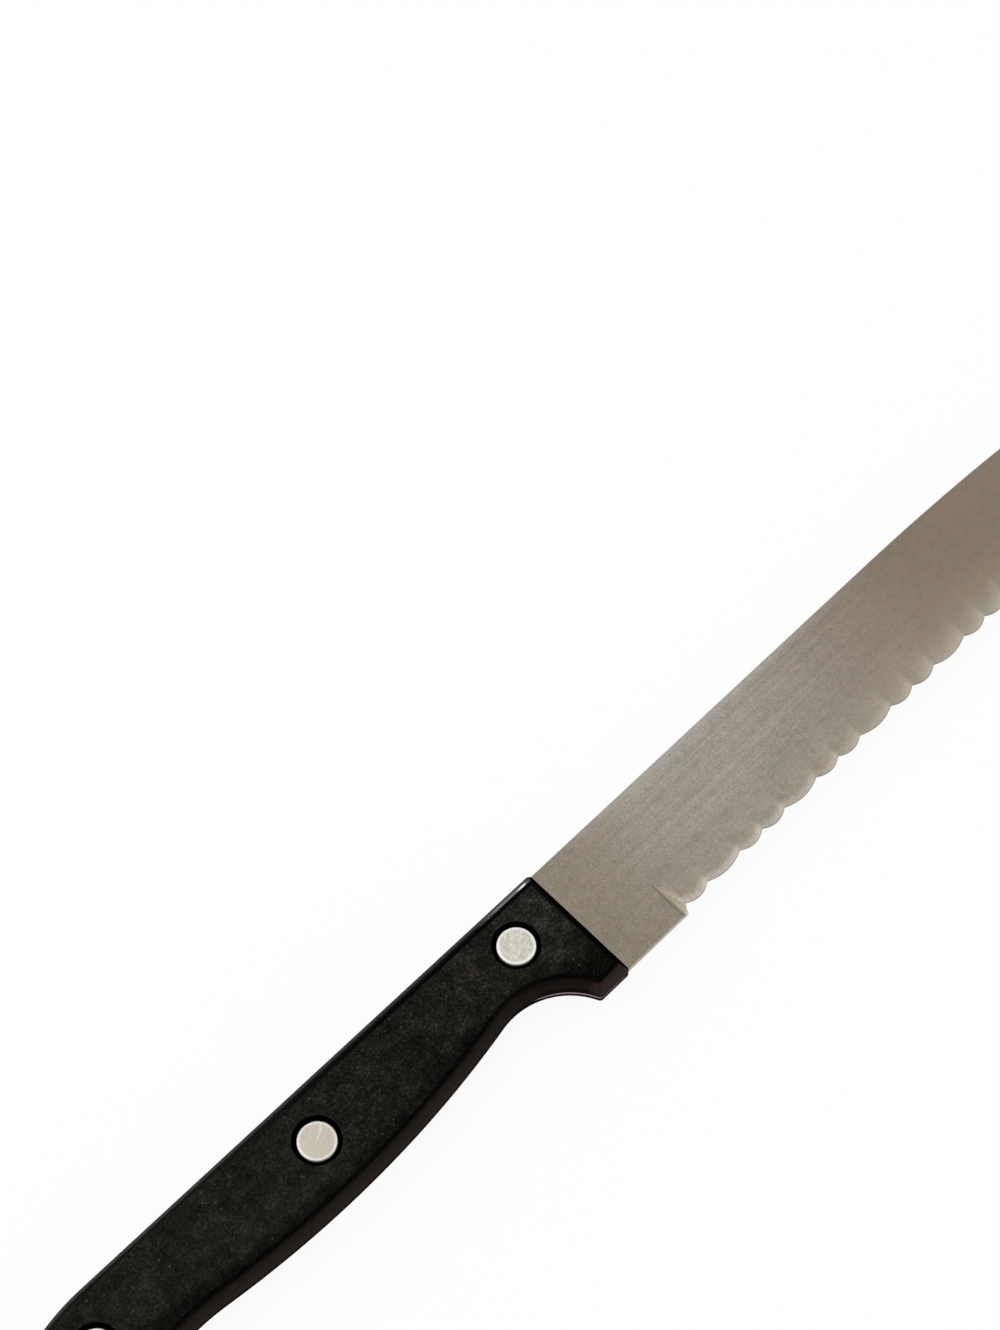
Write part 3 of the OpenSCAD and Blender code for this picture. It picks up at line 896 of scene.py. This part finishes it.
# Black line and a painted grey reflection along the top, with a painted glint near the front
def sheenColour(tree, coords, x, y, up, colour):
    topSlope = (handle["crestRise"] - handle["frontRise"]) / (handle["crestLong"] - handle["long"])
    topLine = calc(tree, "MULTIPLY_ADD", x, topSlope, handle["frontRise"])
    depth = calc(tree, "SUBTRACT", topLine, y)
    band = ease(tree, depth, plastic["topBand"])
    dark = product(tree, ease(tree, depth, plastic["topLine"]),
                   ease(tree, x, plastic["topLineFades"]), ease(tree, up, plastic["topLineUp"]))
    colour = mixColours(tree, dark, colour, plastic["line"])
    # painted reflection: a grey band along the top edge, strongest near the front and breaking up
    # towards the rear
    flecks = product(tree, noise(tree, coords, plastic["flecks"]), plastic["fleckShare"])
    ahead = product(tree, ease(tree, x, plastic["sheenFades"]), plastic["frontShare"])
    sheen = ease(tree, total(tree, flecks, ahead), plastic["sheenBreaks"])
    corner = calc(tree, "MAXIMUM", ease(tree, x, plastic["sheenTo"]), plastic["cornerSheen"])
    sheen = product(tree, sheen, band, ease(tree, up, plastic["sheenUp"]), corner)
    under = ease(tree, depth, plastic["glintUnder"])
    side = product(tree, inverse(tree, under), plastic["sideFade"])
    colour = mixColours(tree, sheen, colour, vary(tree, plastic["topSheen"][:3], side))
    # painted highlight: a white glint on the top edge near the front
    glint = product(tree, ease(tree, x, plastic["glintFrom"]), ease(tree, x, plastic["glintTo"]),
                    under, band)
    return mixColours(tree, glint, colour, plastic["glint"])


# Black plastic: mottled face, brownish walls, a black line between the two,
# and a painted grey reflection along the top that breaks up towards the rear
def plasticFinish():
    material, tree, shader = startMaterial("mottledPlastic")
    coords = knifeCoords(tree)
    x, y, z = axesOf(tree, coords)
    up = calc(tree, "ABSOLUTE", z)
    blotches = noise(tree, coords, plastic["blotches"])
    grain = noise(tree, coords, plastic["grain"])
    # mask of the guard facet, which carries a painted highlight
    guard = product(tree, ease(tree, x, plastic["guardFrom"]), ease(tree, y, plastic["guardUnder"]))
    face = ease(tree, up, plastic["faceFrom"])
    colour = mixColours(tree, face, wallColour(tree, x, up, guard, blotches),
                        faceColour(tree, coords, x, y, blotches, grain))
    # painted shade: a black line along the front edge of the face
    front = product(tree, ease(tree, x, plastic["frontLine"]), inverse(tree, guard))
    colour = mixColours(tree, front, colour, plastic["line"])
    colour = sheenColour(tree, coords, x, y, up, colour)

    feed(tree, shader.inputs["Base Color"], colour)
    shader.inputs["Specular IOR Level"].default_value = plastic["specular"]
    feed(tree, shader.inputs["Roughness"],
         remap(tree, grain, plastic["grainFrom"], plastic["roughness"]))
    feed(tree, shader.inputs["Normal"],
         bumpUp(tree, product(tree, grain, face), plastic["reliefStrength"], plastic["relief"]))
    return material


# The same plastic where no light reaches: rivet pockets and the front wall
def darkFinish():
    material, tree, shader = startMaterial("shadowedPlastic")
    grain = noise(tree, knifeCoords(tree), plastic["grain"])
    change = spread(tree, grain, plastic["wallDepth"])
    feed(tree, shader.inputs["Base Color"], vary(tree, plastic["line"][:3], change))
    shader.inputs["Specular IOR Level"].default_value = plastic["shadowSpecular"]
    feed(tree, shader.inputs["Roughness"],
         remap(tree, grain, plastic["grainFrom"], plastic["roughness"]))
    return material


alloy = {
    "front": (0.708, 0.687, 0.587, 1), "middle": (0.638, 0.587, 0.497, 1),
    "rear": (0.675, 0.64, 0.545, 1), "rim": (0.98, 0.975, 0.95, 1),
    "rimFrom": (2.5, 2.9), "rimShare": {"front": 1.0, "middle": 0.65, "rear": 0.8},
    "mottle": {"size": 0.9, "detail": 3}, "mottleDepth": 0.12, "mottleFrom": (0.35, 0.65),
    "grain": {"size": 0.3, "detail": 2}, "grainDepth": 0.10,
    "textureGain": {"front": 3.0, "middle": 0.75, "rear": 1.0},
    "scratches": {"size": (2.6, 0.22, 1), "detail": 1, "turn": 30},
    "scratchFrom": (0.60, 0.72), "scratchShare": 0.5,
    "metallic": 0.5, "roughness": (0.36, 0.52),
    "relief": 0.00001, "reliefStrength": 0.3,
}


# Satin metal of one rivet, with a painted highlight as a bright rim round its heads
def alloyFinish(name, place):
    material, tree, shader = startMaterial(name + "RivetAlloy")
    coords = knifeCoords(tree, place)
    x, y = axesOf(tree, coords)[:2]
    mottle, grain, scratches = [noise(tree, coords, {**alloy[pattern], "shift": place})
                                for pattern in ("mottle", "grain", "scratches")]
    scratched = product(tree, ease(tree, scratches, alloy["scratchFrom"]), alloy["scratchShare"])
    colour = mixColours(tree, scratched, alloy[name], alloy["rim"])
    gain = alloy["textureGain"][name]
    colour = vary(tree, colour, spread(tree, mottle, gain * alloy["mottleDepth"]),
                  spread(tree, grain, gain * alloy["grainDepth"]))
    # painted highlight: a bright rim round the head
    rim = product(tree, ease(tree, lengthOf(tree, x, y), alloy["rimFrom"]), alloy["rimShare"][name])
    colour = mixColours(tree, rim, colour, alloy["rim"])
    feed(tree, shader.inputs["Base Color"], colour)
    shader.inputs["Metallic"].default_value = alloy["metallic"]
    feed(tree, shader.inputs["Roughness"],
         remap(tree, mottle, alloy["mottleFrom"], alloy["roughness"]))
    feed(tree, shader.inputs["Normal"], bumpUp(tree, grain, alloy["reliefStrength"], alloy["relief"]))
    return material


def settle(piece, node):
    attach(piece, "root")
    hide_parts(node)


print("blade")
settle(makeBlade([steelFinish(False), steelFinish(True)]), "blade")

print("scales")
finishes = [plasticFinish(), darkFinish()]
for name, node, side in (("rightScale", "right_scale", 1), ("leftScale", "left_scale", -1)):
    bm = makeScale(side)
    bmesh.ops.transform(bm, matrix=intoFrame, verts=bm.verts)
    settle(asObject(bm, name, finishes), node)

print("rivets")
for name, place in rivetPlaces.items():
    finish = alloyFinish(name, place)
    for kind, section, side in (("Pin", pinSection(), 1), ("Sleeve", sleeveSection(), -1)):
        bm = makeRivet(section, place, side)
        bmesh.ops.transform(bm, matrix=intoFrame, verts=bm.verts)
        piece = asObject(bm, name + "Rivet" + kind, [finish])
        settle(piece, name + "_rivet_" + kind.lower())

# Camera at the photograph's place, in the knife's millimetres
camera = {
    "place": Vector((-119.373, -113.296, 422.164)),
    "tilt": 25.6123, "swing": -44.7757,
    "focal": 2823.71, "imageHigh": 1330, "sensor": 36,
}


def makeCamera():
    data = bpy.data.cameras.new("viewCamera")
    data.sensor_width = camera["sensor"]
    data.lens = camera["focal"] * camera["sensor"] / camera["imageHigh"]
    eye = bpy.data.objects.new("viewCamera", data)
    eye.location = intoFrame @ camera["place"]
    eye.rotation_euler = (radians(camera["tilt"]), 0, radians(camera["swing"]))
    bpy.context.scene.collection.objects.link(eye)
    bpy.context.scene.camera = eye


studio = {
    "floorRadius": 10, "floorSteps": 96, "backdropHigh": 2.7,
    "white": (1, 1, 1, 1), "floorGlow": 1.0, "shadowShare": 0.08,
    "zenith": 0.664, "horizon": 0.25, "skyRises": (0.12, 0.55),
    "lamps": {
        "key": {"place": (-0.9, 0.7, 0.9), "size": 1.8, "watts": 9.6},
        "fill": {"place": (0.9, -0.8, 0.8), "size": 1.7, "watts": 6.0},
    },
}


# White to the eye and in reflections, and matte enough to keep a soft shadow
def floorFinish():
    material = bpy.data.materials.new("paleFloor")
    tree = clearTree(material)
    ray = addNode(tree, "ShaderNodeLightPath", {})
    seen = calc(tree, "MAXIMUM", ray.outputs["Is Camera Ray"], ray.outputs["Is Glossy Ray"])
    seen = calc(tree, "MAXIMUM", seen, ray.outputs["Is Transmission Ray"])
    share = product(tree, seen, 1 - studio["shadowShare"])
    matte = addNode(tree, "ShaderNodeBsdfDiffuse", {"Color": studio["white"]})
    glow = addNode(tree, "ShaderNodeEmission",
                   {"Color": studio["white"], "Strength": studio["floorGlow"]})
    mixed = addNode(tree, "ShaderNodeMixShader", {0: share, 1: matte.outputs[0], 2: glow.outputs[0]})
    output = addNode(tree, "ShaderNodeOutputMaterial", {})
    tree.links.new(mixed.outputs[0], output.inputs["Surface"])
    return material


def makeFloor():
    bm = bmesh.new()
    bmesh.ops.create_circle(bm, cap_ends=True, segments=studio["floorSteps"],
                            radius=studio["floorRadius"])
    grown = bmesh.ops.extrude_edge_only(bm, edges=bm.edges[:])["geom"]
    bmesh.ops.translate(bm, vec=(0, 0, studio["backdropHigh"]),
                        verts=only(bmesh.types.BMVert, grown))
    floor = asObject(bm, "paleFloor", [floorFinish()])


def makeLight():
    scene = bpy.context.scene
    scene.view_settings.view_transform = "Standard"
    world = bpy.data.worlds.new("softSky")
    scene.world = world
    tree = clearTree(world)
    coords = addNode(tree, "ShaderNodeTexCoord", {})
    up = addNode(tree, "ShaderNodeSeparateXYZ", {"Vector": coords.outputs["Generated"]}).outputs["Z"]
    strength = remap(tree, up, studio["skyRises"], (studio["horizon"], studio["zenith"]))
    sky = addNode(tree, "ShaderNodeBackground", {"Color": studio["white"], "Strength": strength})
    output = addNode(tree, "ShaderNodeOutputWorld", {})
    tree.links.new(sky.outputs[0], output.inputs["Surface"])
    for name, lamp in studio["lamps"].items():
        data = bpy.data.lights.new(name, "AREA")
        data.shape = "DISK"
        data.size = lamp["size"]
        data.energy = lamp["watts"]
        light = bpy.data.objects.new(name, data)
        light.location = lamp["place"]
        light.rotation_euler = (-light.location).to_track_quat("-Z", "Y").to_euler()
        scene.collection.objects.link(light)


print("camera, floor and light")
makeCamera()
makeFloor()
makeLight()
